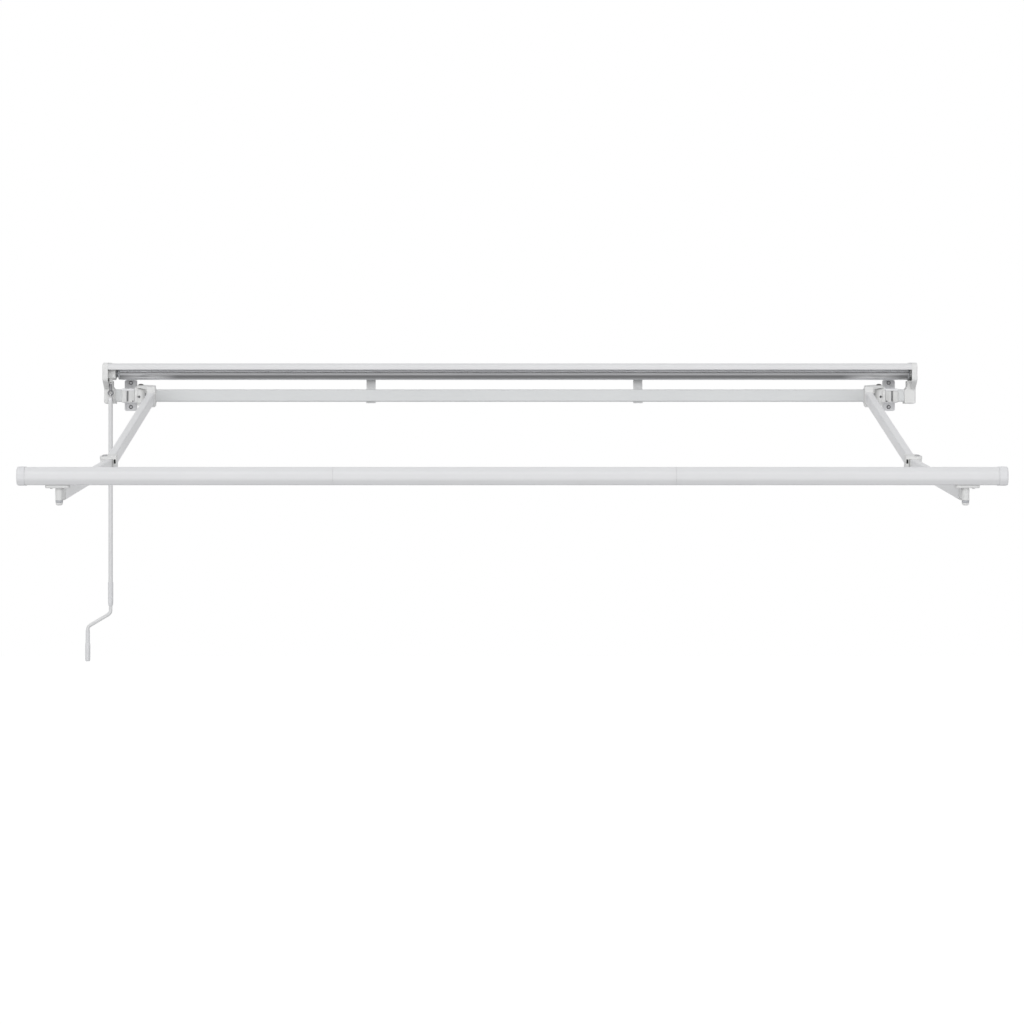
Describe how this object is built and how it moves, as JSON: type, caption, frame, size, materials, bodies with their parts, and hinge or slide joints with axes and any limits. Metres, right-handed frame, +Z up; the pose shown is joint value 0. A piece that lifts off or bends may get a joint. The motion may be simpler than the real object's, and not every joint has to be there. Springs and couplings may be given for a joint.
{
  "type": "folding arm awning frame",
  "caption": "Wall mounted folding arm awning frame: square bar, hood, bare fabric roller with crank drive, folding arms and a front bar, let out with no fabric on it.",
  "frame": {"origin": "on the wall plane, half way along the awning, at the height of the torsion bar's centre", "axes": "+X along the wall to the right seen from the front, +Y into the wall, +Z up"},
  "size_m": [3.0673, 2.5465, 1.1059],
  "materials": {
    "painted_bar": "white powder coat, satin",
    "painted_bracket": "white powder coat, satin",
    "painted_casting": "die cast, white powder coat",
    "painted_sheet": "rolled sheet, white powder coat",
    "painted_tube": "extruded, white powder coat",
    "painted_front": "extruded, white powder coat",
    "bare_roller": "bare galvanised roll-formed tube",
    "plug_nylon": "moulded nylon",
    "white_plastic": "moulded, satin white",
    "painted_crank": "white powder coat",
    "zinc_steel": "zinc plated",
    "fastener_steel": "zinc plated"
  },
  "bodies": {
    "wall_frame": {"torsion_bar": "painted_bar", "hood": "painted_sheet", "gear_housing": "painted_casting", "wall_bracket_left": "painted_bracket", "bar_keeper_left": "painted_casting", "end_plate_left": "painted_casting", "hood_support_left": "painted_bracket", "arm_bracket_left": "painted_casting", "clamp_jaw_left": "painted_bracket", "pitch_bolt_left": "fastener_steel", "wall_bolt_upper_left": "fastener_steel", "wall_bolt_lower_left": "fastener_steel", "wall_bracket_right": "painted_bracket", "bar_keeper_right": "painted_casting", "end_plate_right": "painted_casting", "hood_support_right": "painted_bracket", "arm_bracket_right": "painted_casting", "clamp_jaw_right": "painted_bracket", "pitch_bolt_right": "fastener_steel", "wall_bolt_upper_right": "fastener_steel", "wall_bolt_lower_right": "fastener_steel"},
    "roller": {"roller_tube": "bare_roller", "roller_gear_plug": "plug_nylon", "roller_idle_plug": "plug_nylon"},
    "eye": {"worm_eye": "zinc_steel"},
    "crank": {"crank_hook": "zinc_steel", "crank_rod": "painted_crank"},
    "sleeve": {"crank_sleeve": "white_plastic"},
    "grip": {"crank_grip": "white_plastic"},
    "tilt_left": {"shoulder_knuckle_left": "painted_casting", "shoulder_pin_left": "zinc_steel"},
    "upper_left": {"shoulder_fork_left": "painted_casting", "upper_arm_left": "painted_tube", "arm_spring_left": "zinc_steel", "elbow_fork_left": "painted_casting", "elbow_pin_left": "zinc_steel"},
    "fore_left": {"elbow_eye_left": "painted_casting", "forearm_left": "painted_tube", "wrist_eye_left": "painted_casting"},
    "tilt_right": {"shoulder_knuckle_right": "painted_casting", "shoulder_pin_right": "zinc_steel"},
    "upper_right": {"shoulder_fork_right": "painted_casting", "upper_arm_right": "painted_tube", "arm_spring_right": "zinc_steel", "elbow_fork_right": "painted_casting", "elbow_pin_right": "zinc_steel"},
    "fore_right": {"elbow_eye_right": "painted_casting", "forearm_right": "painted_tube", "wrist_eye_right": "painted_casting"},
    "front": {"front_bar_left": "painted_front", "front_bar_middle": "painted_front", "front_bar_right": "painted_front", "front_bar_joiner_left": "zinc_steel", "front_bar_cap_left": "white_plastic", "wrist_bracket_left": "painted_casting", "wrist_nut_left": "painted_casting", "front_bar_joiner_right": "zinc_steel", "front_bar_cap_right": "white_plastic", "wrist_bracket_right": "painted_casting", "wrist_nut_right": "painted_casting"}
  },
  "joints": [
    {"name": "roller_spin", "type": "hinge", "parent": "wall_frame", "child": "roller", "pos_m": [0, -0.085, 0.084], "axis": [1, 0, 0], "continuous": true},
    {"name": "worm_spin", "type": "hinge", "parent": "wall_frame", "child": "eye", "pos_m": [-1.4735, -0.117, 0.0085], "axis": [0, 0, 1], "continuous": true},
    {"name": "crank_swing", "type": "hinge", "parent": "eye", "child": "crank", "pos_m": [-1.4735, -0.117, 0], "axis": [1, 0, 0], "range_deg": [-45, 5]},
    {"name": "sleeve_spin", "type": "hinge", "parent": "crank", "child": "sleeve", "pos_m": [-1.4735, -0.117, -0.7335], "axis": [0, 0, 1], "continuous": true},
    {"name": "grip_spin", "type": "hinge", "parent": "crank", "child": "grip", "pos_m": [-1.558, -0.117, -0.9245], "axis": [0, 0, 1], "continuous": true},
    {"name": "pitch_left", "type": "hinge", "parent": "wall_frame", "child": "tilt_left", "pos_m": [-1.361, -0.13, 0], "axis": [1, 0, 0], "range_deg": [-5, 20]},
    {"name": "shoulder_left", "type": "hinge", "parent": "tilt_left", "child": "upper_left", "pos_m": [-1.352, -0.2, -0.003], "axis": [0, -0.1642, 0.9864], "range_deg": [0, 87]},
    {"name": "elbow_left", "type": "hinge", "parent": "upper_left", "child": "fore_left", "pos_m": [-1.352, -1.31621, -0.27394], "axis": [0, -0.1642, 0.9864], "range_deg": [-174, 0]},
    {"name": "pitch_right", "type": "hinge", "parent": "wall_frame", "child": "tilt_right", "pos_m": [1.361, -0.13, 0], "axis": [1, 0, 0], "range_deg": [-5, 20]},
    {"name": "shoulder_right", "type": "hinge", "parent": "tilt_right", "child": "upper_right", "pos_m": [1.352, -0.2, -0.003], "axis": [0, -0.1642, 0.9864], "range_deg": [-87, 0]},
    {"name": "elbow_right", "type": "hinge", "parent": "upper_right", "child": "fore_right", "pos_m": [1.352, -1.31621, -0.27394], "axis": [0, -0.1642, 0.9864], "range_deg": [0, 174]},
    {"name": "wrist_left", "type": "hinge", "parent": "fore_left", "child": "front", "pos_m": [-1.352, -2.46, -0.37917], "axis": [0, -0.1642, 0.9864], "range_deg": [0, 87]}
  ],
  "couplings": [
    {"joint": "worm_spin", "follows": "roller_spin", "ratio": 7},
    {"joint": "pitch_right", "follows": "pitch_left", "ratio": 1},
    {"joint": "elbow_left", "follows": "shoulder_left", "ratio": -2},
    {"joint": "wrist_left", "follows": "shoulder_left", "ratio": 1},
    {"joint": "shoulder_right", "follows": "shoulder_left", "ratio": -1},
    {"joint": "elbow_right", "follows": "shoulder_left", "ratio": 2}
  ]
}
